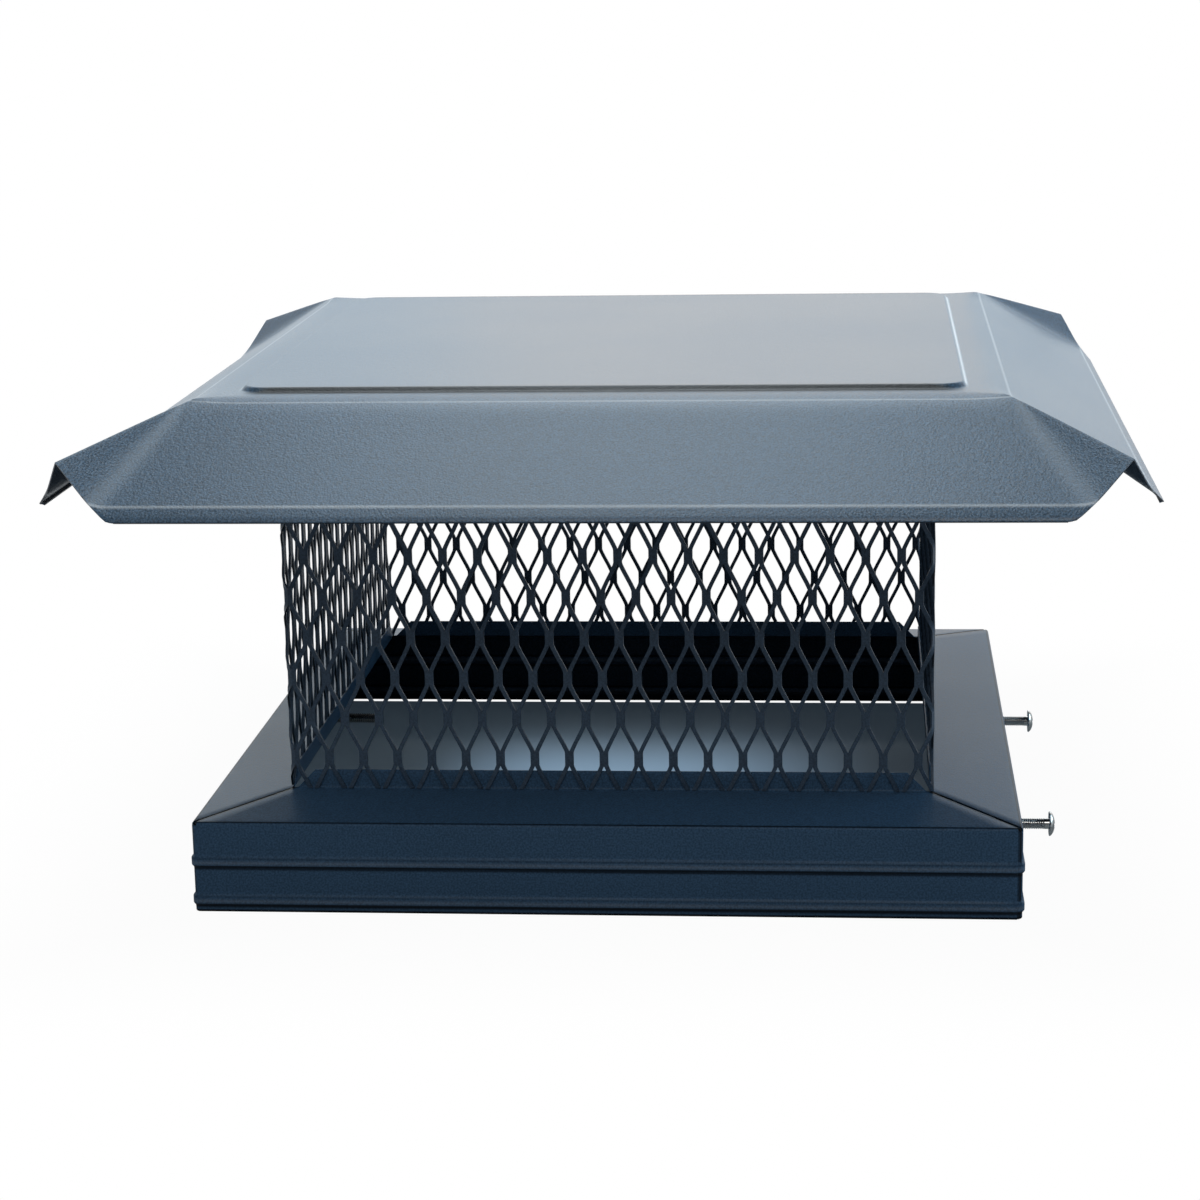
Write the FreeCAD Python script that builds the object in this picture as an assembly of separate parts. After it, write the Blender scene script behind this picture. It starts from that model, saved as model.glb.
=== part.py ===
# Chimney cap, single flue, square, in painted sheet steel. Millimetres.
# The origin is the middle of the square on which the skirt's bottom rim lies. +Z is up,
# the front is at -Y and the right is at +X.
# A one-piece base collar slips over the flue tile, four walls of expanded metal stand on
# its ledge, and a folded hood covers them. Two clamp screws on the left and two on the
# right turn in weld nuts and grip the tile.

import FreeCAD, Part
import math
import os

V = FreeCAD.Vector

# Sheet
sheet = 0.8                  # thickness of the base, the hood and the rails

# Base collar
base_width = 457.0           # outside of the skirt, both ways
skirt_height = 52.0
corner_radius = 3.0          # outside of the skirt's upright bends
corner_flats = 4             # flats that each of these bends is folded in
shoulder_radius = 2.0        # outside of the bend from skirt to ledge
ledge_width = 48.7           # level distance from the skirt's outside to the upstand
ledge_rise = 6.0             # the ledge slopes up to the upstand, so that rain runs off
upstand_height = 10.8
mitre_gap = 0.8              # slit between neighbouring ledges
bead_height = 7.5
bead_crown = 2.6             # upright part at the middle of a bead
bead_depth = 1.2             # how far a bead stands out of the skirt
lower_bead_z = 7.1           # middle of each bead
upper_bead_z = 29.3
hem_height = 6.0             # return inside the bottom rim
lap_width = 20.0             # tab behind the front wall at the seam
corner_clearance = 0.3       # from an upstand's or rail's end to the screen's bend

# Screen
screen_thickness = 1.5
strand_width = 3.0
screen_corner_radius = 3.5   # outside of the upright bends
diamond_columns = 15
diamond_rows = 3.5           # a half shows as open ends along the top edge
screen_edge = 1.6            # plain strip along the four sides of each wall

# Hood
hood_top_z = 289.5
panel_margin = 14.7          # from the screen's outside to the edge of the raised panel
step_drop = 2.4
step_run = 1.6
band_width = 23.0            # flat band round the panel, measured from the panel's edge
slope_length = 84.4          # from the band to the drip crease
slope_angle = 32.3
drip_length = 13.1
drip_angle = 42.5
corner_cut = 123.0           # the blank's corner is cut where x + y reaches this
drip_hem = 6.0               # return under the drip edge

# Rails that hold the screen under the hood
rail_leg = 12.0
rail_end_gap = 0.5

# Clamp screws and their nuts
screw_radius = 3.1
nut_clearance = 0.06         # round the screw, as a running fit
skirt_hole_clearance = 0.4
screw_length = 50.8          # under the head
head_radius = 7.2
head_height = 3.4
crown_flats = 24             # flats that stand for the head's round crown
head_out_right = 24.5        # from the skirt's outside to the top of the right screws' heads
head_out_left = 5.3          # the left screws are run in further
drive_width = 1.4            # each arm of the cross recess
drive_length = 7.0
drive_depth = 1.8
drive_margin = 0.9           # flat of the crown past the recess's ends
screw_from_corner = 117.0    # from the skirt's front or back to a screw's axis
nut_flats = 11.1
nut_height = 5.6

# What follows from the sizes above
base_half = base_width / 2
opening_half = base_half - ledge_width
ledge_slope = math.atan2(ledge_rise, ledge_width)
shoulder_z = skirt_height - shoulder_radius
fold_z = (shoulder_z + shoulder_radius * math.cos(ledge_slope)
          + (ledge_width - shoulder_radius + shoulder_radius * math.sin(ledge_slope))
          * math.tan(ledge_slope))
upstand_top_z = fold_z + upstand_height
wall_end = base_half - corner_radius
screen_inner_radius = screen_corner_radius - screen_thickness
tab_half = opening_half - screen_inner_radius - corner_clearance
screw_z = (lower_bead_z + upper_bead_z) / 2
screw_y = base_half - screw_from_corner
hood_drop = sheet / math.cos(math.radians(slope_angle))
hood_under_z = hood_top_z - hood_drop
wall_half = opening_half + screen_thickness - screen_corner_radius
panel_half = opening_half + screen_thickness + panel_margin


def line(a, b):
    return Part.LineSegment(a, b).toShape()


def arc(a, middle, b):
    return Part.Arc(a, middle, b).toShape()


def closed_face(edges):
    return Part.Face(Part.Wire(Part.sortEdges(edges)[0]))


def polygon(points):
    return Part.Face(Part.makePolygon(points + [points[0]]))


def turned(shape, quarter):
    """A copy turned about Z by a number of quarter turns."""
    copy = shape.copy()
    copy.rotate(V(0, 0, 0), V(0, 0, 1), 90 * quarter)
    return copy


def single(shape):
    """The solid by itself, where a cut or a fuse has left just one."""
    return shape.Solids[0] if len(shape.Solids) == 1 else shape


def joined(shapes):
    """All the shapes fused into one solid, with flat faces that meet made one."""
    return single(shapes[0].multiFuse(shapes[1:]).removeSplitter())


# The base collar. Sections lie in the XZ plane, with +X outwards.
def skirt_line(x, top_z):
    """The upright line of the skirt at distance x, with its two beads, from z = 0 up."""
    points = [V(x, 0, 0)]
    for middle in (lower_bead_z, upper_bead_z):
        points += [V(x, 0, middle - bead_height / 2),
                   V(x + bead_depth, 0, middle - bead_crown / 2),
                   V(x + bead_depth, 0, middle + bead_crown / 2),
                   V(x, 0, middle + bead_height / 2)]
    points.append(V(x, 0, top_z))
    return [line(a, b) for a, b in zip(points, points[1:])]


def skirt_section(outside):
    """The skirt alone: the beaded line and the same line one sheet further in."""
    inside = outside - sheet
    edges = skirt_line(outside, shoulder_z) + skirt_line(inside, shoulder_z)
    edges.append(line(V(outside, 0, shoulder_z), V(inside, 0, shoulder_z)))
    edges.append(line(V(outside, 0, 0), V(inside, 0, 0)))
    return closed_face(edges)


def ledge_section():
    """The shoulder bend, the sloping ledge and the upstand, above the straight skirt."""
    outer_r = shoulder_radius
    inner_r = shoulder_radius - sheet
    turn = math.pi / 2 - ledge_slope

    def on_bend(radius, angle):
        return V(base_half - outer_r + radius * math.cos(angle), 0,
                 shoulder_z + radius * math.sin(angle))

    inner_x = opening_half - sheet
    under = on_bend(inner_r, turn)
    under_z = under.z + (under.x - inner_x) * math.tan(ledge_slope)
    edges = [
        arc(on_bend(outer_r, 0), on_bend(outer_r, turn / 2), on_bend(outer_r, turn)),
        line(on_bend(outer_r, turn), V(opening_half, 0, fold_z)),
        line(V(opening_half, 0, fold_z), V(opening_half, 0, upstand_top_z)),
        line(V(opening_half, 0, upstand_top_z), V(inner_x, 0, upstand_top_z)),
        line(V(inner_x, 0, upstand_top_z), V(inner_x, 0, under_z)),
        line(V(inner_x, 0, under_z), under),
        arc(under, on_bend(inner_r, turn / 2), on_bend(inner_r, 0)),
        line(on_bend(inner_r, 0), on_bend(outer_r, 0)),
    ]
    return closed_face(edges)


def along_y(section, half_length):
    """A section in the XZ plane carried along Y, to both sides of the middle."""
    solid = section.extrude(V(0, 2 * half_length, 0))
    solid.translate(V(0, -half_length, 0))
    return solid


def skirt_wall():
    """The straight wall on the right, with the hem folded up inside its bottom rim."""
    wall = along_y(skirt_section(base_half), wall_end)
    hem = Part.makeBox(sheet, 2 * wall_end, hem_height, V(base_half - 2 * sheet, -wall_end, 0))
    return [wall, hem]


def ledge_wall():
    """The right ledge and its upstand, mitred at both ends, the upstand's ends clipped."""
    whole = along_y(ledge_section(), base_half)
    slit = mitre_gap / math.sqrt(2)
    mitre = polygon([V(slit, 0, 0), V(base_half + slit, base_half, 0),
                     V(base_half + slit, -base_half, 0)])
    above = V(0, 0, 2 * upstand_top_z)
    clip_top = tab_half - upstand_height
    clipped = polygon([V(0, -base_half, 0), V(0, base_half, 0), V(0, base_half, fold_z),
                       V(0, tab_half, fold_z), V(0, clip_top, upstand_top_z),
                       V(0, -clip_top, upstand_top_z), V(0, -tab_half, fold_z),
                       V(0, -base_half, fold_z)])
    outline = Part.makeBox(base_width, base_width, upstand_top_z, V(-base_half, -base_half, 0))
    upright = [e for e in outline.Edges if abs(e.Vertexes[0].Z - e.Vertexes[-1].Z) > 1]
    outline = outline.makeFillet(corner_radius, upright)
    return (whole.common(mitre.extrude(above)).common(clipped.extrude(V(base_half, 0, 0)))
            .common(outline))


def upright_bend(x, y, start_angle):
    """A quarter turn of the skirt about an upright axis at x, y, folded in a few flats."""
    outline = skirt_section(corner_radius).OuterWire
    stations = []
    for step in range(corner_flats + 1):
        station = outline.copy()
        station.rotate(V(0, 0, 0), V(0, 0, 1), start_angle + 90 * step / corner_flats)
        station.translate(V(x, y, 0))
        stations.append(station)
    return Part.makeLoft(stations, True, True)


def seam_tab():
    """The end of the strip, tucked behind the front wall beside the front right bend."""
    tab = skirt_section(base_half - sheet).extrude(V(0, lap_width, 0))
    tab.rotate(V(0, 0, 0), V(0, 0, 1), -90)
    tab.translate(V(wall_end - lap_width, 0, 0))
    return tab


def base_collar():
    """One strip bent round four corners: beaded skirt, hem, mitred ledge and upstand."""
    pieces = []
    for quarter in range(4):
        pieces += [turned(piece, quarter) for piece in skirt_wall() + [ledge_wall()]]
    for quarter in range(3):
        pieces.append(turned(upright_bend(wall_end, wall_end, 0), quarter))
    pieces.append(upright_bend(wall_end, -wall_end + sheet, -90))
    pieces.append(seam_tab())
    collar = joined(pieces)
    hole_radius = screw_radius + skirt_hole_clearance
    for y in (-screw_y, screw_y):
        collar = collar.cut(Part.makeCylinder(hole_radius, 2 * base_width,
                                              V(-base_width, y, screw_z), V(1, 0, 0)))
    return collar


# The screen. A wall is drawn upright at the front, with u across it and z up.
def opening(u, z, half_u, half_z, right, up, left, down):
    """A diamond about u, z. A side that runs into the wall's plain edge is left off."""
    reach = [(half_u, 0, right), (0, half_z, up), (-half_u, 0, left), (0, -half_z, down)]
    points = [V(u + du, 0, z + dz) for du, dz, kept in reach if kept]
    if len(points) == 2:
        points.append(V(u, 0, z))
    return Part.makePolygon(points + [points[0]])


def screen_wall():
    """The front wall of the screen: staggered diamonds between thin slanting strands.

    Its right end is bent round the upright corner, up to the wall beside it.
    """
    across = wall_half - screen_edge
    low = fold_z + screen_edge
    high = hood_under_z - screen_edge
    pitch_u = 2 * across / diamond_columns
    pitch_z = (high - low) / diamond_rows
    strand_to_middle = (pitch_u / 2) * (pitch_z / 2) / math.hypot(pitch_u / 2, pitch_z / 2)
    shrink = 1 - (strand_width / 2) / strand_to_middle
    last_row = round(2 * diamond_rows)
    wires = [Part.makePolygon([V(-wall_half, 0, fold_z), V(wall_half, 0, fold_z),
                               V(wall_half, 0, hood_under_z), V(-wall_half, 0, hood_under_z),
                               V(-wall_half, 0, fold_z)])]
    for row in range(last_row + 1):
        z = low + row * pitch_z / 2
        staggered = row % 2
        for column in range(diamond_columns + 1 - staggered):
            u = -across + (column + staggered / 2) * pitch_u
            wires.append(opening(u, z, shrink * pitch_u / 2, shrink * pitch_z / 2,
                                 right=staggered or column < diamond_columns, up=row < last_row,
                                 left=staggered or column > 0, down=row > 0))
    wall = Part.makeFace(wires, "Part::FaceMakerBullseye")
    wall = wall.extrude(V(0, -screen_thickness, 0))
    wall.translate(V(0, -opening_half, 0))
    strip = polygon([V(screen_inner_radius, 0, fold_z), V(screen_corner_radius, 0, fold_z),
                     V(screen_corner_radius, 0, hood_under_z),
                     V(screen_inner_radius, 0, hood_under_z)])
    bend = strip.revolve(V(0, 0, 0), V(0, 0, 1), -90)
    bend.translate(V(wall_half, -wall_half, 0))
    return joined([wall, bend])


# The hood
def hood_surface():
    """Flat facets of the folded sheet's top side, and the line round its cut edge.

    The blank is one square with its corners cut off. Each corner isn't slit, so the sheet
    there rises in two flat ears that meet in a ridge. The ridge dips by the one angle at
    which the ears keep their flat size between the two slopes beside them.
    """
    tilt = math.radians(slope_angle)
    drip_tilt = math.radians(drip_angle)
    flat_end = slope_length + drip_length
    foot = panel_half + step_run
    corner = panel_half + band_width
    crease = corner + slope_length * math.cos(tilt)
    edge = crease + drip_length * math.cos(drip_tilt)
    band_z = hood_top_z - step_drop
    crease_z = band_z - slope_length * math.sin(tilt)
    edge_z = crease_z - drip_length * math.sin(drip_tilt)
    crease_side = corner + corner_cut - slope_length
    edge_side = corner + corner_cut - flat_end

    level = (crease - corner + crease_side - corner) / math.sqrt(2)
    fall = slope_length * math.sin(tilt)
    ridge_flat = corner_cut / math.sqrt(2)
    ridge_tilt = math.atan2(fall, level) - math.acos(ridge_flat / math.hypot(level, fall))
    ridge = corner + ridge_flat * math.cos(ridge_tilt) / math.sqrt(2)
    ridge_z = band_z - ridge_flat * math.sin(ridge_tilt)

    def mirrored(x, y, z):
        return [V(x, -y, z), V(x, y, z)]

    side = [
        mirrored(panel_half, panel_half, hood_top_z) + mirrored(foot, foot, band_z)[::-1],
        mirrored(foot, foot, band_z) + mirrored(corner, corner, band_z)[::-1],
        mirrored(corner, corner, band_z) + mirrored(crease, crease_side, crease_z)[::-1],
        mirrored(crease, crease_side, crease_z) + mirrored(edge, edge_side, edge_z)[::-1],
        [V(corner, corner, band_z), V(ridge, ridge, ridge_z), V(crease, crease_side, crease_z)],
        [V(corner, corner, band_z), V(crease_side, crease, crease_z), V(ridge, ridge, ridge_z)],
    ]
    rim = mirrored(edge, edge_side, edge_z) + [V(crease, crease_side, crease_z),
                                               V(ridge, ridge, ridge_z),
                                               V(crease_side, crease, crease_z)]
    hem_share = drip_hem / drip_length
    hem = mirrored(edge, edge_side, edge_z) + [
        low + (high - low) * hem_share
        for low, high in zip(mirrored(edge, edge_side, edge_z)[::-1],
                             mirrored(crease, crease_side, crease_z)[::-1])]
    return side, rim, hem


def around(points, quarter):
    """Points turned about Z by a number of quarter turns."""
    turn = FreeCAD.Rotation(V(0, 0, 1), 90 * quarter)
    return [turn.multVec(point) for point in points]


def hood():
    """The folded sheet: its top facets, the same facets one sheet below, and the cut edge."""
    side, rim, hem = hood_surface()
    down = V(0, 0, -hood_drop)
    top = [[V(x * panel_half, y * panel_half, hood_top_z)
            for x, y in ((-1, -1), (1, -1), (1, 1), (-1, 1))]]
    boundary = []
    for quarter in range(4):
        top += [around(facet, quarter) for facet in side]
        boundary += around(rim, quarter)
    faces = []
    for facet in top:
        faces.append(polygon(facet))
        faces.append(polygon([point + down for point in facet]))
    for a, b in zip(boundary, boundary[1:] + boundary[:1]):
        faces.append(polygon([a, b, b + down, a + down]))
    shell = Part.makeShell(faces)
    shell.sewShape()
    sheet_solid = Part.makeSolid(shell)
    if sheet_solid.Volume < 0:
        sheet_solid.reverse()
    return joined([sheet_solid] + [polygon(around(hem, quarter)).extrude(down * 2)
                                   for quarter in range(4)])


def rail():
    """The front angle, spot welded to the screen's inner side and the hood's underside."""
    low = hood_under_z - rail_leg
    inner = opening_half - rail_leg
    section = polygon([V(opening_half, 0, low), V(opening_half, 0, hood_under_z),
                       V(inner, 0, hood_under_z), V(inner, 0, hood_under_z - sheet),
                       V(opening_half - sheet, 0, hood_under_z - sheet),
                       V(opening_half - sheet, 0, low)])
    slit = rail_end_gap / math.sqrt(2)
    mitre = polygon([V(slit, 0, 0), V(base_half + slit, base_half, 0),
                     V(base_half + slit, -base_half, 0)])
    right = along_y(section, tab_half).common(mitre.extrude(V(0, 0, 2 * hood_top_z)))
    return turned(right, -1)


# Clamp screws and nuts, drawn on the right, with +X pointing out of the skirt
def ring_of_flats(count, reach, x):
    """The corners of a ring of equal flats about the screw's axis, at reach from it."""
    turns = [2 * math.pi * k / count for k in range(count)]
    return [V(x, reach * math.sin(turn), reach * math.cos(turn)) for turn in turns]


def clamp_screw(y, head_out):
    """A screw with a low wide head, its crown sloping to a flat with a cross recess."""
    low = ring_of_flats(crown_flats, head_radius, -head_height)
    high = ring_of_flats(crown_flats, drive_length / 2 + drive_margin, 0)
    sides = [polygon([low[k - 1], low[k], high[k], high[k - 1]]) for k in range(crown_flats)]
    head = Part.Solid(Part.Shell([polygon(low), polygon(high)] + sides))
    shank = Part.makeCylinder(screw_radius, screw_length, V(-head_height, 0, 0), V(-1, 0, 0))
    screw = joined([head, shank])
    for across, up in ((drive_length, drive_width), (drive_width, drive_length)):
        screw = screw.cut(Part.makeBox(drive_depth, across, up,
                                       V(-drive_depth, -across / 2, -up / 2)))
    screw.translate(V(base_half + head_out, y, screw_z))
    return screw


def weld_nut(y):
    """A hexagon nut welded to the skirt's inner side between the two beads."""
    outline = ring_of_flats(6, nut_flats / math.sqrt(3), 0)
    nut = polygon(outline).extrude(V(-nut_height, 0, 0))
    nut = nut.cut(Part.makeCylinder(screw_radius + nut_clearance, nut_height,
                                    V(0, 0, 0), V(-1, 0, 0)))
    nut.translate(V(base_half - sheet, y, screw_z))
    return nut


def build():
    nodes = {"base_collar": base_collar(), "hood": hood()}
    for quarter, side in enumerate(("front", "right", "back", "left")):
        nodes["screen_" + side] = turned(screen_wall(), quarter)
        nodes["rail_" + side] = turned(rail(), quarter)
    for depth, y in (("front", -screw_y), ("back", screw_y)):
        for side, quarter, sign, head_out in (("right", 0, 1, head_out_right),
                                              ("left", 2, -1, head_out_left)):
            place = depth + "_" + side
            nodes["clamp_screw_" + place] = turned(clamp_screw(sign * y, head_out), quarter)
            nodes["weld_nut_" + place] = turned(weld_nut(sign * y), quarter)
    return nodes


os.makedirs("parts", exist_ok=True)
for name, shape in build().items():
    single(shape).exportStep("parts/" + name + ".step")
    print(name, shape.isValid(), round(shape.Volume, 1))
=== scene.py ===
"""The chimney cap's looks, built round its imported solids.

The cap's sizes are in millimetres until a mesh is made. Paint lines and the studio are in
metres. +Z is up, the front is at -Y and the right is at +X, as in the solids. Surfaces are
grids of points worked out with numpy. Down the rows and then along the columns goes
anticlockwise, seen from outside.
"""

import math

import bmesh
import bpy
import numpy as np
from mathutils import Matrix, Vector


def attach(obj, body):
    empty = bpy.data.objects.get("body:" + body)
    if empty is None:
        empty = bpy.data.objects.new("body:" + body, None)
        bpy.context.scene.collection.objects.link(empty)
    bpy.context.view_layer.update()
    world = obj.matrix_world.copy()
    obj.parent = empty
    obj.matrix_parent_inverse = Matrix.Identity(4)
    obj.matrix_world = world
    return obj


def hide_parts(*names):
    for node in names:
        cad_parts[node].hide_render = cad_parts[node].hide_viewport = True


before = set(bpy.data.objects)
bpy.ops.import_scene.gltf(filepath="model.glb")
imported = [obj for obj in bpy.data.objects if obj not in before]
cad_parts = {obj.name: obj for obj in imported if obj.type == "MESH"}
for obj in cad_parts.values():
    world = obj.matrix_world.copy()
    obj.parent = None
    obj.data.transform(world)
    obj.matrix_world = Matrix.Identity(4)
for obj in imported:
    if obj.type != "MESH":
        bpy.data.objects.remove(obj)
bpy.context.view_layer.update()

MM = 0.001

# Sheet and collar, from the cap's middle and from the floor
SHEET = 0.8
BASE_HALF = 228.5
WALL_END = 225.5
BEND = 3.0
SHOULDER_Z = 50.0
SHOULDER = 2.0
LEDGE_TILT = math.atan2(6.0, 48.7)
OPENING = 179.8
FOLD_Z = 57.77
FOLD_ROUND = 1.6
UPSTAND = 10.8
TAB_HALF = 177.5
BEADS = (7.1, 29.3)
BEAD_HALF = 3.75
BEAD_DEPTH = 1.2
BEAD_FLANK = 0.48 * BEAD_HALF
HEM = 6.0
RIM_ROUND = 0.86
LAP = 20.0
MITRE = 0.57
WIDE_MITRE = 1.5
SCREW_Y = 111.5
SCREW_Z = 18.2
HOLE = 3.5
HOLE_SQUARE = 6.0

# Screws, along the axis from the top of the head
HEAD_OUT = {"right": 24.5, "left": 5.3}
HEAD_HALF = 7.1
HEAD_DEEP = 3.4
DOME_HALF = 7.4
DOME_DEEP = 2.7
SCREW_END = -54.2
SHANK = 3.08
THREAD_DEEP = 0.55
PITCH = 1.27

# Screen
SCREEN_MIDDLE = 180.75
SCREEN_BEND = 3.0
SCREEN_HALF = SCREEN_MIDDLE - SCREEN_BEND
SCREEN_WALL = 2 * SCREEN_HALF
SCREEN_SIDE = SCREEN_WALL + SCREEN_BEND * math.pi / 2
DIAMONDS = 74
DIAMOND_TALL = 46.5
BOND_Z = 75.9
BOND_SHARE = 0.94
STRAND = 2.45
STRAND_THICK = 1.3
STRAND_TILT = math.radians(-6)
HOOD_UNDER = 288.5

# Hood
TOP_Z = 289.5
STEP_DROP = 2.4
STEP_START = 195.0
STEP_WIDE = 3.2
PANEL = 199.0
CORNER = 219.0
SLOPE = 84.4
SLOPE_TILT = math.radians(32.3)
DRIP = 13.1
DRIP_TILT = math.radians(42.5)
HEM_OPEN = math.radians(24)
HEM_ROUND = 0.88
CUT = 123.0
PLAN_RADIUS = 13.0
BAND_Z = TOP_Z - STEP_DROP
CREASE = CORNER + SLOPE * math.cos(SLOPE_TILT)
CREASE_Z = BAND_Z - SLOPE * math.sin(SLOPE_TILT)
EDGE = CREASE + DRIP * math.cos(DRIP_TILT)
EDGE_Z = CREASE_Z - DRIP * math.sin(DRIP_TILT)

# The ears at the hood's corners, from the flat sheet
EAR_B = CUT - SLOPE
EAR_ANGLE = math.atan2(EAR_B, SLOPE)
RIDGE_FLAT = CUT / 2
LEVEL = (CREASE - CORNER + EAR_B) / math.sqrt(2)
FALL = SLOPE * math.sin(SLOPE_TILT)
RIDGE_LONG = CUT / math.sqrt(2)
RIDGE_TILT = math.atan2(FALL, LEVEL) - math.acos(RIDGE_LONG / math.hypot(LEVEL, FALL))
RIDGE = CORNER + RIDGE_LONG * math.cos(RIDGE_TILT) / math.sqrt(2)
RIDGE_Z = BAND_Z - RIDGE_LONG * math.sin(RIDGE_TILT)

# How softly the hood folds: half a window of the flat sheet, and how it grows
SHARP_FOLD = 0.8
BAND_FOLD = 14.0
EAR_FOLD = 3.6
EAR_FOLD_GROWTH = 0.16
SPREAD = 0.6
RIDGE_START = 2.6
RIDGE_START_LONG = 6

# Colours
WHITE = (1.0, 1.0, 1.0)
# A pale colour for painted highlights along the hood's folds and on the collar's beads
PAINTED_HIGHLIGHT = (0.85, 0.88, 0.90)
# A near black for painted shade: in folds and seams, at the rim, below the beads and on what faces
# down
PAINTED_SHADE = (0.002, 0.003, 0.004)
GREY = (0.50, 0.50, 0.50)
COOL = (0.84, 0.94, 1.0)
BLUE = (0.60, 0.84, 1.0)
WARM = (1.0, 0.96, 0.88)
# The colour of a painted pool of bluish light on the floor under the cap
PAINTED_FLOOR_GLOW = (0.40, 0.61, 0.84)


def smooth(t):
    """0 below 0, 1 above 1, and 3t^2 - 2t^3 between."""
    t = np.clip(t, 0, 1)
    return t * t * (3 - 2 * t)


def quarter_turns(points, quarter):
    """Points turned about Z by a number of quarter turns: x, y become -y, x each time."""
    c, s = ((1, 0), (0, 1), (-1, 0), (0, -1))[quarter % 4]
    x, y, z = points[..., 0], points[..., 1], points[..., 2]
    return np.stack([c * x - s * y, s * x + c * y, z], -1)


def piece(name, grids, finish, body, stands_for=(), thick=0.0, edge=0.0, sharp=35):
    """One mesh from grids of points, in metres, with doubles merged.

    Each grid is rows by columns by 3. Four neighbours make a face, and a face with a
    missing corner (nan) is left out. thick gives the sheet its thickness inwards, and edge
    rounds its edges.
    """
    verts, faces, start = [], [], 0
    for grid in grids:
        rows, cols = grid.shape[:2]
        index = start + np.arange(rows * cols).reshape(rows, cols)
        quads = np.stack([index[:-1, :-1], index[1:, :-1], index[1:, 1:], index[:-1, 1:]], -1)
        flat = grid.reshape(-1, 3)
        quads = quads.reshape(-1, 4)
        whole = ~np.isnan(flat[quads - start]).any((1, 2))
        faces.append(quads[whole])
        verts.append(np.nan_to_num(flat) * MM)
        start += len(flat)
    mesh = bpy.data.meshes.new(name)
    mesh.from_pydata(np.concatenate(verts), [], np.concatenate(faces))
    work = bmesh.new()
    work.from_mesh(mesh)
    bmesh.ops.remove_doubles(work, verts=work.verts, dist=2e-6)
    loose = [v for v in work.verts if not v.link_faces]
    bmesh.ops.delete(work, geom=loose, context="VERTS")
    work.to_mesh(mesh)
    work.free()
    mesh.validate()
    mesh.shade_smooth()
    mesh.set_sharp_from_angle(angle=math.radians(sharp))
    made = bpy.data.objects.new(name, mesh)
    bpy.context.scene.collection.objects.link(made)
    mesh.materials.append(finish)
    if thick:
        wall = made.modifiers.new("sheet", "SOLIDIFY")
        wall.thickness = thick * MM
        wall.offset = -1
    if edge:
        bevel = made.modifiers.new("edges", "BEVEL")
        bevel.width = edge * MM
        bevel.segments = 2
        bevel.limit_method = "ANGLE"
        bevel.angle_limit = math.radians(50)
    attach(made, body)
    if stands_for:
        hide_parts(*stands_for)


# Finishes
class Wire:
    """A shader socket. Arithmetic on it adds Math nodes, and node() adds any other node."""

    def __init__(self, tree, socket=None):
        self.tree = tree
        self.socket = socket

    def node(self, kind, settings=(), values=(), out=0):
        """A node of that kind: settings first, then its sockets' values or links."""
        made = self.tree.nodes.new("ShaderNode" + kind)
        for key, value in dict(settings).items():
            setattr(made, key, value)
        for key, value in dict(values).items():
            if isinstance(value, Wire):
                self.tree.links.new(value.socket, made.inputs[key])
            else:
                made.inputs[key].default_value = value
        return Wire(self.tree, made.outputs[out] if made.outputs else None)

    def maths(self, operation, first, second=0.0):
        return self.node("Math", {"operation": operation}, {0: first, 1: second})

    def __add__(self, other):
        return self.maths("ADD", self, other)

    def __radd__(self, other):
        return self.maths("ADD", other, self)

    def __sub__(self, other):
        return self.maths("SUBTRACT", self, other)

    def __rsub__(self, other):
        return self.maths("SUBTRACT", other, self)

    def __mul__(self, other):
        return self.maths("MULTIPLY", self, other)

    def __rmul__(self, other):
        return self.maths("MULTIPLY", other, self)

    def clipped(self):
        return self.node("Clamp", {}, {"Value": self})

    def size(self):
        return self.maths("ABSOLUTE", self)

    def greater(self, other):
        return self.maths("MAXIMUM", self, other)

    def rising(self, low, high):
        """0 below low, 1 above high, and a smooth rise between."""
        return self.node("MapRange", {"interpolation_type": "SMOOTHSTEP"},
                         {"Value": self, "From Min": low, "From Max": high})

    def mixed(self, first, second):
        """The first colour where this is 0, the second where it is 1."""
        return self.node("Mix", {"data_type": "RGBA"}, {0: self, 6: first, 7: second}, out=2)

    def noise(self, scale, detail):
        """Noise round 0.5 at this place, with about so many spots to a metre."""
        return self.node("TexNoise", {}, {"Vector": self, "Scale": scale, "Detail": detail})

    def axis(self, letter):
        return self.node("SeparateXYZ", {}, {0: self}, out=letter)

    def from_middle(self):
        """The greater of |x| and |y|: how far out of the middle, square by square."""
        return self.axis("X").size().greater(self.axis("Y").size())


def colour(tone, times=1.0):
    """A shader colour from red, green and blue, so many times lighter."""
    return (*[part * times for part in tone], 1.0)


def new_finish(name):
    """A material with one Principled shader: the material, a wire to build on, the shader."""
    made = bpy.data.materials.new(name)
    made.use_nodes = True
    tree = made.node_tree
    return made, Wire(tree), tree.nodes["Principled BSDF"]


def connect(shader, key, wire):
    wire.tree.links.new(wire.socket, shader.inputs[key])


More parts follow.
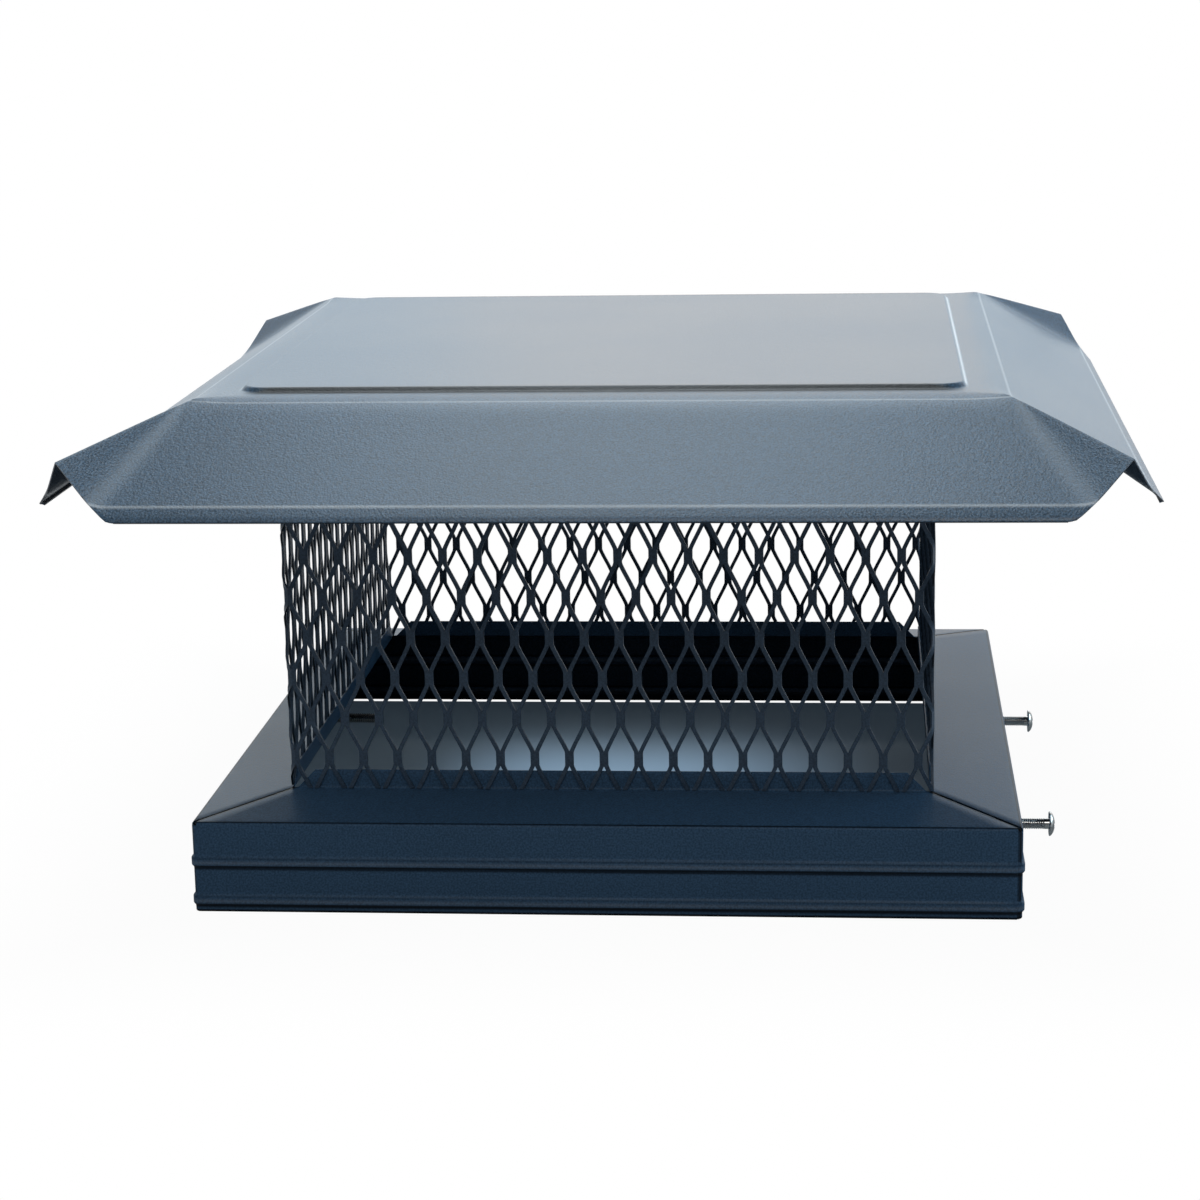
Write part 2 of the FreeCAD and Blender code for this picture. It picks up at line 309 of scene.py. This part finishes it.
def painted(name, tone, gloss, ior, grain=0.00035, speckle=0.20, lines=()):
    """Baked paint on sheet steel: a mottled grain, and soft patches of colour and gloss.

    lines gives lines along folds and beads, painted shade and painted highlights: the kind,
    where it lies, half its width, its strength and its colour. The lines "all", "sides" and
    "ends" are squares about Z, the last two only at the left and right or at the front and
    back. "mitre" is a line along the corners' diagonals, above the shoulder, and "height" is
    a level. Lines at the sides are also made metal, which brightens their painted highlight.
    What faces down gets painted shade.
    """
    made, wire, shader = new_finish(name)
    place = wire.node("TexCoord", out="Object")
    fine, orange = place.noise(900.0, 2.0), place.noise(330.0, 1.0)
    patches, mottle = place.noise(9.0, 3.0), place.noise(950.0, 1.0)
    mix = (0.5 + (patches - 0.5) * 0.5 + (mottle - 0.5) * 3.6).clipped()
    shade = mix.mixed(colour(tone, 1 - speckle), colour(tone, 1 + speckle))
    # Painted shade on what faces down
    under = (0 - wire.node("NewGeometry", out="Normal").axis("Z")).rising(0.15, 0.45)
    shade = (under * 0.8).mixed(shade, colour(PAINTED_SHADE))
    wider = place.axis("X").size() - place.axis("Y").size()
    # Each line mixes painted shade or a painted highlight into the colour
    for kind, at, half, strength, tint in lines:
        if kind == "mitre":
            far = wider.size() - at
        elif kind == "height":
            far = place.axis("Z") - at
        else:
            far = place.from_middle() - at
        line = (1.0 - far.size() * (1 / half)).clipped() * (0.55 + patches * 0.6) * strength
        if kind == "mitre":
            above = (SHOULDER_Z + 1.0) * MM
            line = line * place.axis("Z").rising(above, above + MM)
        # At the sides the painted highlight is also made metal, so that it shines
        if kind == "sides":
            line = line * wider.rising(0.001, 0.02)
            connect(shader, "Metallic", line.clipped())
        if kind == "ends":
            line = line * (0 - wider).rising(0.001, 0.02)
        shade = line.clipped().mixed(shade, colour(tint))
    connect(shader, "Base Color", shade)
    connect(shader, "Roughness", gloss + (patches - 0.5) * 0.06 + (mottle - 0.5) * 0.24)
    shader.inputs["IOR"].default_value = ior
    bump = wire.node("Bump", {}, {"Height": fine * 0.9 + orange * 0.35, "Strength": 0.6,
                                  "Distance": grain})
    connect(shader, "Normal", bump)
    return made


def plated(name, tone, gloss):
    """Bright zinc on steel: metal with a cloudy gloss and fine drawing marks."""
    made, wire, shader = new_finish(name)
    place = wire.node("TexCoord", out="Object")
    cloud, fine = place.noise(260.0, 4.0), place.noise(1800.0, 2.0)
    connect(shader, "Base Color", cloud.mixed(colour(tone, 0.8), colour(tone)))
    connect(shader, "Roughness", gloss + (cloud - 0.5) * 0.2)
    shader.inputs["Metallic"].default_value = 1.0
    bump = wire.node("Bump", {}, {"Height": fine, "Strength": 0.3, "Distance": 0.00003})
    connect(shader, "Normal", bump)
    return made


# Painted highlights at the panel's edges at the sides, painted shade at its edges at the front
# and back, painted highlights along the band's fold and the crease
HOOD_PAINTED_SHADING = (
    ("sides", 0.1970, 0.0014, 1.0, PAINTED_HIGHLIGHT),
    ("ends", 0.1982, 0.0070, 1.7, PAINTED_SHADE),
    ("all", 0.2195, 0.0011, 0.35, PAINTED_HIGHLIGHT),
    ("all", 0.2902, 0.0013, 0.42, PAINTED_HIGHLIGHT),
)
# Painted shade at the shoulder, in the mitres and at the rim, then above each bead painted
# shade, on it a painted highlight and below it painted shade, the upper one first
COLLAR_PAINTED_SHADING = (
    ("all", 0.2272, 0.0010, 1.2, PAINTED_SHADE),
    ("mitre", 0.0, 0.0034, 1.8, PAINTED_SHADE),
    ("height", 0.0004, 0.0016, 1.8, PAINTED_SHADE),
    ("height", 0.0312, 0.0009, 0.45, PAINTED_SHADE),
    ("height", 0.0288, 0.0018, 0.09, PAINTED_HIGHLIGHT),
    ("height", 0.0252, 0.0013, 1.0, PAINTED_SHADE),
    ("height", 0.0092, 0.0009, 0.35, PAINTED_SHADE),
    ("height", 0.0066, 0.0018, 0.09, PAINTED_HIGHLIGHT),
    ("height", 0.0032, 0.0012, 0.9, PAINTED_SHADE),
)
hood_paint = painted("hood_paint", (0.048, 0.096, 0.154), 0.34, 1.55, speckle=0.42,
                     lines=HOOD_PAINTED_SHADING)
collar_paint = painted("collar_paint", (0.040, 0.089, 0.160), 0.36, 1.22, grain=0.00016,
                       speckle=0.22, lines=COLLAR_PAINTED_SHADING)
screen_paint = painted("screen_paint", (0.042, 0.070, 0.110), 0.38, 1.33, grain=0.00005)
rail_paint = painted("rail_paint", (0.038, 0.080, 0.140), 0.40, 1.27)
screw_zinc = plated("screw_zinc", (0.74, 0.74, 0.72), 0.18)
nut_zinc = plated("nut_zinc", (0.50, 0.49, 0.46), 0.42)


# Hood
def drip_and_hem():
    """Flat distance, x and z down the slope, the drip, round the hem's half circle and up."""
    down = np.array([math.cos(DRIP_TILT), -math.sin(DRIP_TILT)])
    out = np.array([math.sin(DRIP_TILT), math.cos(DRIP_TILT)])
    last = np.array([EDGE, EDGE_Z]) - down * HEM_ROUND
    angle = np.linspace(0, np.pi - HEM_OPEN, 9)[:, None]
    arc = last - out * HEM_ROUND + HEM_ROUND * (np.cos(angle) * out + np.sin(angle) * down)
    end = arc[-1] - HEM * (math.sin(HEM_OPEN) * out + math.cos(HEM_OPEN) * down)
    line = np.vstack([[CORNER, BAND_Z], [CREASE, CREASE_Z], arc, end])
    flat = np.concatenate([[0], np.cumsum(np.hypot(*np.diff(line, axis=0).T))])
    return flat, line


HEM_FLAT, HEM_LINE = drip_and_hem()


def folded(x, y):
    """Where a point x, y of the flat sheet lies once the sheet is folded with sharp folds.

    Inside the band the sheet stays flat. Past the band fold, at a past it, the point goes
    down the side's profile. Past the line from the band's corner to the crease's end it lies
    in the flat ear: a = p Ka + q Ra and b = p Kb + q Rb give the shares p and q of the ear's
    two sides, the crease's end K and the ridge's end R.
    """
    big, small = np.maximum(abs(x), abs(y)), np.minimum(abs(x), abs(y))
    a, b = big - CORNER, small - CORNER
    far = np.where(a > 0, np.interp(a, HEM_FLAT, HEM_LINE[:, 0]), big)
    near = small
    high = np.interp(a, HEM_FLAT, HEM_LINE[:, 1])
    ear = (a > 0) & (b * SLOPE > a * EAR_B)
    whole = SLOPE * RIDGE_FLAT - EAR_B * RIDGE_FLAT
    p = (a - b) * RIDGE_FLAT / whole
    q = (b * SLOPE - a * EAR_B) / whole
    far = np.where(ear, CORNER + p * (CREASE - CORNER) + q * (RIDGE - CORNER), far)
    near = np.where(ear, CORNER + p * EAR_B + q * (RIDGE - CORNER), near)
    high = np.where(ear, BAND_Z + p * (CREASE_Z - BAND_Z) + q * (RIDGE_Z - BAND_Z), high)
    swap = abs(y) > abs(x)
    return np.stack([np.where(swap, near, far) * np.sign(x + 1e-9),
                     np.where(swap, far, near) * np.sign(y + 1e-9), high], -1)


def softly_folded(x, y):
    """The mean of the folded sheet over a small window of the flat one round x, y.

    Flat parts stay flat and folds come out round. The window is wide at the band's fold and
    grows along the ears' folds, and is narrow at the crease and at the ridge.
    """
    big, small = np.maximum(abs(x), abs(y)), np.minimum(abs(x), abs(y))
    a, b = big - CORNER, small - CORNER
    along = np.maximum(b, 0)
    past_corner = np.maximum(np.minimum(a, b), 0)
    ridge = SHARP_FOLD + SPREAD * abs(a - b) \
        + RIDGE_START * np.exp(-past_corner / RIDGE_START_LONG)
    wide_a = np.minimum(np.minimum(BAND_FOLD, SHARP_FOLD + SPREAD * abs(a - SLOPE)), ridge)
    wide_b = np.minimum(EAR_FOLD + EAR_FOLD_GROWTH * along, ridge)
    steps = (np.arange(9) - 4) / 4.5
    da, db = [s.ravel() for s in np.meshgrid(steps, steps)]
    steep = abs(x) >= abs(y)
    wx = np.where(steep, wide_a, wide_b)[..., None]
    wy = np.where(steep, wide_b, wide_a)[..., None]
    return folded(x[..., None] + wx * da, y[..., None] + wy * db).mean(-2)


def hood_side():
    """The right side of the hood, from the middle of the panel to the hem's end.

    Columns run along the side: straight ones, and fans about the band's corners by angle.
    Rows are rings round the raised panel, then down the slope, then down the drip.
    """
    fan = np.radians([3, 7, 11, 14.5, 17.5, 20, 22.3, 24.57, 26.8, 29, 31.5, 34.5, 37.5, 40.2,
                      42.4, 43.8, 44.6, 45])
    fan[7] = EAR_ANGLE
    straight = np.linspace(-1, 1, 41)
    share = np.concatenate([-np.ones(len(fan)), straight, np.ones(len(fan))])
    angle = np.concatenate([-fan[::-1], np.zeros(len(straight)), fan])

    ring = np.concatenate([[0, 30, 70, 110, 145, 170, 184, 190, 193],
                           np.linspace(194.6, PANEL, 12),
                           [201, 204, 207.5, 210.5, 213, 215, 216.5, 218]])[:, None]
    rounding = np.where(ring < PANEL, ring / PANEL, (CORNER - ring) / (CORNER - PANEL))
    radius = PLAN_RADIUS * rounding
    x = ring - radius + radius * np.cos(angle)
    y = share * (ring - radius) + radius * np.sin(angle)
    top = softly_folded(x, y)
    top[..., 2] += STEP_DROP * (1 - smooth((ring - STEP_START) / STEP_WIDE))

    down = np.array([0, 1, 2, 3, 4, 5.5, 7.5, 10, 14, 20, 27, 35, 43, 52, 60, 67, 73, 78, 81, 82.6,
                     83.5, 84, 84.4])[:, None] / SLOPE
    on_ear = abs(angle) > EAR_ANGLE + 1e-6
    long = CUT / (np.cos(angle) + abs(np.sin(angle)))
    end_a = np.where(on_ear, long * np.cos(angle), SLOPE)
    end_b = np.where(on_ear, long * np.sin(angle), SLOPE * np.tan(angle))
    x = CORNER + down * end_a
    y = share * CORNER + down * end_b
    slope = softly_folded(x, y)

    kept = ~on_ear
    lip = np.concatenate([[0, 0.4, 0.9, 1.6, 3, 6, 9, 11], HEM_FLAT[2:] - SLOPE])[:, None]
    reach = np.minimum(lip, DRIP)
    x = CORNER + SLOPE + lip + 0 * angle[kept]
    y = share[kept] * CORNER + end_b[kept] * (1 - reach / EAR_B)
    drip = softly_folded(x, y)
    return [np.concatenate([top, slope]), drip]


piece("hood_sheet",
      [quarter_turns(grid, quarter) for quarter in range(4) for grid in hood_side()],
      hood_paint, "cap", ["hood"], thick=SHEET, edge=0.16)


# Collar
def bead(z):
    """How far the beads stand out at height z: flat crowns with smooth flanks."""
    out = 0
    for middle in BEADS:
        out = out + BEAD_DEPTH * smooth((BEAD_HALF - abs(z - middle)) / BEAD_FLANK)
    return out


def along_a_wall():
    """Places from a wall's one end to its other, closer together at the screws' holes."""
    hole = SCREW_Y + np.linspace(HOLE_SQUARE, -HOLE_SQUARE, 9)
    half = np.concatenate([np.linspace(WALL_END, 130, 9), hole, np.linspace(93, 0, 7)])
    return np.concatenate([half, -half[-2::-1]])


def skirt_path():
    """The line of bend centres, clockwise from the front wall's right end to the lap.

    Points along each wall, then the same point while the outward direction turns through
    the bend. The last bend is one sheet further in, so that the lap lies behind the front.
    """
    along = along_a_wall()
    turn = np.radians(np.linspace(0, 90, 9))
    xs, ys, angles = [], [], []
    for wall in range(4):
        facing = -math.pi / 2 - wall * math.pi / 2
        side = np.array([-math.sin(facing), math.cos(facing)])
        out = np.array([math.cos(facing), math.sin(facing)])
        points = WALL_END * out + along[:, None] * side
        if wall == 3:
            points[-1, 1] = -WALL_END + SHEET
        xs += [points[:, 0], np.full(8, points[-1, 0])]
        ys += [points[:, 1], np.full(8, points[-1, 1])]
        angles += [np.full(len(along), facing), facing - turn[1:]]
    lap = np.linspace(0, LAP, 4)[1:]
    xs.append(WALL_END - lap)
    ys.append(np.full(3, -WALL_END + SHEET))
    angles.append(np.full(3, angles[-1][-1]))
    return np.concatenate(xs), np.concatenate(ys), np.concatenate(angles)


def skirt():
    """The beaded skirt with its hem: one upright profile carried along the path."""
    x, y, angle = skirt_path()
    turn = np.linspace(np.pi, 0, 9)
    rise = np.concatenate([np.linspace(0.9, BEADS[0] + BEAD_HALF, 15),
                           SCREW_Z + np.linspace(-HOLE_SQUARE, HOLE_SQUARE, 9),
                           np.linspace(BEADS[1] - BEAD_HALF, BEADS[1] + BEAD_HALF, 15),
                           [34.5, 37, 40, 43, 46, 48.5, SHOULDER_Z]])
    rim_out, rim_z = RIM_ROUND * np.cos(turn)[1:-1], RIM_ROUND * np.sin(turn)[1:-1]
    out = np.concatenate([np.full(3, -2 * RIM_ROUND), rim_out - RIM_ROUND, bead(rise)])
    z = np.concatenate([[HEM, 3.4, RIM_ROUND], RIM_ROUND - rim_z, rise])
    reach = (BEND + out)[:, None]
    grid = np.stack([x + reach * np.cos(angle), y + reach * np.sin(angle),
                     z[:, None] + 0 * x], -1)
    on_side = abs(abs(grid[..., 0]) - BASE_HALF) < 0.01
    near = HOLE_SQUARE - 0.1
    in_hole = (abs(abs(grid[..., 1]) - SCREW_Y) < near) & (abs(grid[..., 2] - SCREW_Z) < near)
    grid[on_side & in_hole] = np.nan
    return grid


def screw_hole(sign_x, y):
    """The flat square round a screw's hole: rings that go from a circle out to the square."""
    step = np.linspace(-1, 1, 9)[:-1]
    one = np.ones(len(step))
    sides = ((step, -one), (one, step), (-step, one), (-one, -step))
    square = np.concatenate([np.stack(side, -1) for side in sides] + [[[-1, -1]]])
    circle = square / np.hypot(*square.T)[:, None]
    share = np.array([0, 0.25, 0.6, 1])[:, None, None]
    plan = HOLE * circle * (1 - share) + HOLE_SQUARE * square * share
    return np.stack([sign_x * BASE_HALF + 0 * plan[..., 0], y + sign_x * plan[..., 0],
                     SCREW_Z + plan[..., 1]], -1)


def ledge(low_mitre=MITRE, high_mitre=MITRE):
    """The right shoulder, ledge and upstand: a profile between mitred and clipped ends.

    The mitre at the low end (y < 0) and the one at the high end have their own half gaps.
    """
    turn = np.linspace(0, math.pi / 2 - LEDGE_TILT, 9)
    shoulder = np.stack([BASE_HALF - SHOULDER + SHOULDER * np.cos(turn),
                         SHOULDER_Z + SHOULDER * np.sin(turn)], -1)
    flat = np.array([0.06, 0.2, 0.4, 0.6, 0.8, 0.94])[:, None]
    foot = np.array([OPENING + FOLD_ROUND, FOLD_Z - FOLD_ROUND * math.tan(LEDGE_TILT)])
    ramp = shoulder[-1] + flat * (foot - shoulder[-1])
    bend = np.linspace(0, 1, 6)[:, None]
    tall = np.array([OPENING, FOLD_Z + FOLD_ROUND])
    corner = np.array([OPENING, FOLD_Z])
    fold = (1 - bend) ** 2 * foot + 2 * bend * (1 - bend) * corner + bend ** 2 * tall
    up = np.stack([np.full(5, OPENING), np.linspace(FOLD_Z + 3, FOLD_Z + UPSTAND, 5)], -1)
    line = np.concatenate([shoulder, ramp, fold, up])
    x, z = line[:, 0], line[:, 1]
    clipped = TAB_HALF - np.maximum(z - FOLD_Z, 0)

    def reach(mitre):
        half = np.minimum(WALL_END, x - mitre * smooth((x - OPENING) / 8))
        return np.where(z > FOLD_Z + 0.2, np.minimum(half, clipped), half)[:, None]

    along = along_a_wall() / WALL_END
    half = np.where(along < 0, reach(low_mitre), reach(high_mitre))
    return np.stack([x[:, None] + 0 * along, half * along, z[:, None] + 0 * along], -1)


LEDGES = (ledge(low_mitre=WIDE_MITRE), ledge(), ledge(), ledge(high_mitre=WIDE_MITRE))
HOLES = [screw_hole(side, y) for side in (-1, 1) for y in (-SCREW_Y, SCREW_Y)]
piece("collar_strip",
      [skirt()] + [quarter_turns(grid, quarter) for quarter, grid in enumerate(LEDGES)] + HOLES,
      collar_paint, "cap", ["base_collar"], thick=SHEET, edge=0.12)


# Screen
def round_the_walls(along, out):
    """x, y of a point so far along the screen's rounded square and so far out of it.

    It starts at the front wall's left end and goes to the right. Each wall is straight,
    then its bend turns through a quarter.
    """
    along = np.mod(along, 4 * SCREEN_SIDE)
    number = np.floor(along / SCREEN_SIDE)
    rest = along - number * SCREEN_SIDE
    run = np.minimum(rest, SCREEN_WALL) - SCREEN_HALF
    turn = np.maximum(rest - SCREEN_WALL, 0) / SCREEN_BEND
    reach = SCREEN_BEND + out
    x = run + reach * np.sin(turn)
    y = -SCREEN_HALF - reach * np.cos(turn)
    angle = number * math.pi / 2
    return x * np.cos(angle) - y * np.sin(angle), x * np.sin(angle) + y * np.cos(angle)


def strands():
    """All the screen's strands, each one a thin tilted bar that sways from bond to bond.

    A strand sways by A s(z) from its own upright line and by D s(z) out of the wall, where
    s is 0.85 t + 0.15 sin(pi/2 t), and t is a triangle wave with its tops cut flat.
    Neighbours sway against each other and run into one along the tops: the bonds.
    """
    spacing = 4 * SCREEN_SIDE / (2 * DIAMONDS)
    sway = (spacing - BOND_SHARE * STRAND) / 2
    lift = STRAND * math.tan(STRAND_TILT) / 2
    half_wave = DIAMOND_TALL / 2
    key = np.array([-0.5, -0.36, -0.24, -0.19, -0.15, 0.15, 0.19, 0.24, 0.36])
    turns = np.arange(-1, 11)
    z = (BOND_Z + half_wave * (turns[:, None] + key)).ravel()
    z = z[(z > FOLD_Z + 0.5) & (z < HOOD_UNDER - 0.5)]
    z = np.concatenate([[FOLD_Z + 0.3], z, [HOOD_UNDER]])
    phase = (z - BOND_Z) / half_wave
    wave = 1 - 2 * np.abs(np.mod(phase + 1, 2) - 1)
    cut = np.clip(1.5 * wave, -1, 1)
    sway_share = 0.85 * cut + 0.15 * np.sin(math.pi / 2 * cut)
    bars = []
    across = np.array([-0.5, 0.5, 0.5, -0.5, -0.5]) * STRAND * 1.02
    through = np.array([0.5, 0.5, -0.5, -0.5, 0.5]) * STRAND_THICK
    for number in range(2 * DIAMONDS):
        sign = 1 if number % 2 else -1
        s = sign * sway_share[:, None]
        along = (number + 0.5) * spacing + sway * s + across * math.cos(STRAND_TILT) \
            + through * math.sin(STRAND_TILT)
        out = lift * s - across * math.sin(STRAND_TILT) + through * math.cos(STRAND_TILT)
        x, y = round_the_walls(along, out)
        bars.append(np.stack([x, y, z[:, None] + 0 * x], -1))
    return bars


def closed_ends(bar):
    """The bar's rows with both ends drawn to their middle."""
    first, last = bar[:1], bar[-1:]
    return np.concatenate([0 * first + first[:, :-1].mean(1, keepdims=True), bar,
                           0 * last + last[:, :-1].mean(1, keepdims=True)])


piece("screen_mesh", [closed_ends(bar) for bar in strands()], screen_paint, "cap",
      ["screen_front", "screen_right", "screen_back", "screen_left"], sharp=50)


# Clamp screws
def screw_head():
    """A truss head: a dome revolved about the screw, less a cross recess of even depth."""
    turn = np.linspace(0, 2 * np.pi, 97)
    r = np.array([0, 0.25, 0.5, 0.75, 1, 1.3, 1.7, 2.1, 2.5, 2.8, 3.05, 3.3, 3.55, 3.8, 4.1, 4.6,
                  5.2, 5.8, 6.3, 6.7, 6.95, HEAD_HALF])[:, None]
    fall = 1 - np.sqrt(np.maximum(1 - (r / DOME_HALF) ** 2, 0))
    dome = -DOME_DEEP * fall / fall[-1]
    y, z = r * np.cos(turn), r * np.sin(turn)
    short, long = np.minimum(abs(y), abs(z)), np.maximum(abs(y), abs(z))
    recess = 1.9 * smooth((0.95 - short) / 0.4) * smooth((3.6 - long) / 0.5)
    x = dome - recess
    top = np.stack([x, y, z], -1)
    low = np.array([[-2.95, HEAD_HALF + 0.08], [-3.2, HEAD_HALF], [-HEAD_DEEP, 6.9],
                    [-HEAD_DEEP, 3.0], [-HEAD_DEEP, 0]])
    under = np.stack([low[:, :1] + 0 * turn, low[:, 1:] * np.cos(turn),
                      low[:, 1:] * np.sin(turn)], -1)
    return np.concatenate([top, under])


def screw_shank():
    """The threaded shank: its radius falls and rises with the angle and the distance."""
    turn = np.linspace(0, 2 * np.pi, 25)
    x = np.linspace(0.1 - HEAD_DEEP, SCREW_END + 1, 275)[:, None]
    wave = abs(np.mod(x / PITCH - turn / (2 * np.pi), 1) - 0.5) * 2
    depth = THREAD_DEEP * smooth((-5.5 - x) / 1.5)
    r = SHANK - depth * (1 - smooth(wave * 1.6))
    bar = np.stack([x + 0 * turn, r * np.cos(turn), r * np.sin(turn)], -1)
    first, last = bar[:1], bar[-1:]
    axis = np.array([1.0, 0, 0])
    tip = last * [1, 0.72, 0.72] - [1.0, 0, 0]
    return np.concatenate([first * axis, bar, tip, tip * axis])


for depth_name, y in (("front", -SCREW_Y), ("back", SCREW_Y)):
    for side_name, quarter, sign in (("right", 0, 1), ("left", 2, -1)):
        place = depth_name + "_" + side_name
        head_at = [BASE_HALF + HEAD_OUT[side_name], sign * y, SCREW_Z]
        piece("threaded_screw_" + place,
              [quarter_turns(grid + head_at, quarter) for grid in (screw_head(), screw_shank())],
              screw_zinc, "clamp_screw_" + place, ["clamp_screw_" + place], sharp=30)

for start, finish in (("rail_", rail_paint), ("weld_nut_", nut_zinc)):
    for name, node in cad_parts.items():
        if name.startswith(start):
            node.data.materials.clear()
            node.data.materials.append(finish)


# Studio: each lamp's name, place, aim, width, height, radiance and colour
LAMPS = (
    ("overhead", (-0.12, 0.90, 1.95), (-0.12, 0.90, 0), 1.0, 2.3, 3.5, COOL),
    ("front_edge", (-0.18, -0.60, 1.95), (-0.18, -0.60, 0), 0.40, 0.6, 6.0, COOL),
    ("behind", (-0.10, 3.4, 1.3), (-0.10, 0, 0.25), 1.0, 2.0, 0.62, WARM),
    ("behind_left", (-1.40, 3.4, 1.3), (-1.40, 0, 0.25), 1.6, 2.0, 0.58, BLUE),
    ("behind_right", (1.20, 3.4, 1.3), (1.20, 0, 0.25), 1.6, 2.0, 0.58, BLUE),
    ("side_left", (-1.9, 0.4, 0.80), (0, 0, 0.05), 1.4, 1.0, 1.1, COOL),
    ("side_right", (1.9, 0.4, 0.70), (0, 0, 0.05), 1.4, 1.0, 3.6, BLUE),
    ("front_fill", (0.3, -2.6, 2.4), (0, 0, 0.05), 1.8, 1.2, 3.1, WHITE),
)
CAMERA_PLACE = (0.1405, -1.7411, 0.5308)
YAW, PITCH_DOWN, ROLL = 0.0917, 0.2279, -0.0199
SENSOR, FOCAL = 36.0, 87.19
FLOOR_RADIUS = 12
FLOOR_SIDES = 48
FLOOR_DROP = 0.0002
WORLD_LIGHT = 0.14


def emptied(owner):
    """A material's or world's node tree with nothing in it, as a wire to build on."""
    owner.use_nodes = True
    owner.node_tree.nodes.clear()
    return Wire(owner.node_tree)


def pale_floor():
    """A pale floor that keeps the shadow near the cap and is white further out.

    Under the cap it is dark but for a painted pool of bluish light round the middle, which
    glows to the camera, and a painted thin white line of light at the foot of the back wall,
    standing in for light that comes in under the skirt.
    """
    mesh = bpy.data.meshes.new("floor")
    turn = np.linspace(0, 2 * np.pi, FLOOR_SIDES + 1)[:-1]
    ring = np.stack([FLOOR_RADIUS * np.cos(turn), FLOOR_RADIUS * np.sin(turn), 0 * turn], -1)
    mesh.from_pydata(ring, [], [list(range(FLOOR_SIDES))])
    floor = bpy.data.objects.new("floor", mesh)
    bpy.context.scene.collection.objects.link(floor)
    floor.location = (0, 0, -FLOOR_DROP)

    made = bpy.data.materials.new("pale_floor")
    wire = emptied(made)
    place = wire.node("TexCoord", out="Object")
    out = place.from_middle()
    # The open floor round the skirt, and a thin strip at the foot of the back wall inside it, a
    # painted line of light
    open_floor_and_painted_strip = out.rising(0.2262, 0.2268).greater(place.axis("Y").rising(0.2228, 0.2236))
    outside = open_floor_and_painted_strip * (0.965 + out.rising(0.23, 0.45) * 0.035)
    # A painted pool of bluish light on the floor under the cap, seen by the camera
    middle = place.axis("X").rising(-0.16, -0.04) * (1.0 - place.axis("X").rising(0.0, 0.17))
    front = (0.21 - place.axis("Y")).rising(0, 0.17)
    painted_glow_under_cap = 0.04 + middle * front * front * place.axis("Y").rising(-0.10, 0.03) * 0.42
    distance = wire.node("VectorMath", {"operation": "LENGTH"}, {0: place}, out="Value")
    mirrored = distance.rising(0.40, 1.00) * place.axis("Y").rising(-0.9, -0.1)
    share = (wire.node("LightPath", out="Is Camera Ray") * painted_glow_under_cap.greater(outside)
             + wire.node("LightPath", out="Is Glossy Ray") * mirrored)
    pale = wire.node("BsdfDiffuse", {}, {"Color": colour(GREY)})
    tint = open_floor_and_painted_strip.mixed(colour(PAINTED_FLOOR_GLOW), colour(WHITE))
    white = wire.node("Emission", {}, {"Color": tint, "Strength": 1.0})
    both = wire.node("MixShader", {}, {0: share, 1: pale, 2: white})
    wire.node("OutputMaterial", {}, {"Surface": both})
    mesh.materials.append(made)


def white_world():
    """White to the camera, dim as a light, and mirrored as a pale strip low at the back."""
    world = bpy.data.worlds.new("studio")
    wire = emptied(world)
    towards = wire.node("TexCoord", out="Generated")
    glossy = wire.node("LightPath", out="Is Glossy Ray")
    seen = (wire.node("LightPath", out="Is Camera Ray")
            + wire.node("LightPath", out="Is Transmission Ray")).clipped()
    low = 1.0 - towards.axis("Z").rising(0.35, 0.80)
    behind = towards.axis("Y").rising(-0.35, 0.25)
    ahead = 1.0 - towards.axis("X").size().rising(0.42, 0.62)
    mirrored = 0.05 + low * behind * (0.30 + ahead * 0.70)
    strength = WORLD_LIGHT + seen * (1.0 - WORLD_LIGHT) + glossy * (mirrored - WORLD_LIGHT)
    back = wire.node("Background", {}, {"Color": colour(WHITE), "Strength": strength})
    wire.node("OutputWorld", {}, {"Surface": back})
    bpy.context.scene.world = world


def soft_light(name, place, towards, wide, tall, radiance, tint):
    """A flat soft light that faces a point. Its power is pi times area times radiance."""
    lamp = bpy.data.lights.new(name, "AREA")
    lamp.shape = "RECTANGLE"
    lamp.size, lamp.size_y = wide, tall
    lamp.energy = math.pi * wide * tall * radiance
    lamp.color = tint
    made = bpy.data.objects.new(name, lamp)
    bpy.context.scene.collection.objects.link(made)
    made.location = place
    made.rotation_mode = "QUATERNION"
    made.rotation_quaternion = (Vector(towards) - Vector(place)).to_track_quat("-Z", "Y")
    made.visible_camera = False


def camera():
    """The photograph's camera, turned by its heading, its pitch down and its roll."""
    lens = bpy.data.cameras.new("camera")
    lens.sensor_width = SENSOR
    lens.lens = FOCAL
    lens.clip_start, lens.clip_end = 0.05, 60
    made = bpy.data.objects.new("camera", lens)
    bpy.context.scene.collection.objects.link(made)
    cy, sy, cp, sp = math.cos(YAW), math.sin(YAW), math.cos(PITCH_DOWN), math.sin(PITCH_DOWN)
    level = Vector((cy, sy, 0))
    above = Vector((-sy * sp, cy * sp, cp))
    ahead = Vector((-sy * cp, cy * cp, -sp))
    right = math.cos(ROLL) * level + math.sin(ROLL) * above
    up = math.cos(ROLL) * above - math.sin(ROLL) * level
    turn = Matrix((right, up, -ahead)).transposed()
    made.matrix_world = Matrix.Translation(CAMERA_PLACE) @ turn.to_4x4()
    bpy.context.scene.camera = made


pale_floor()
white_world()
for lamp in LAMPS:
    soft_light(*lamp)
camera()

bpy.context.scene.view_settings.view_transform = "Standard"
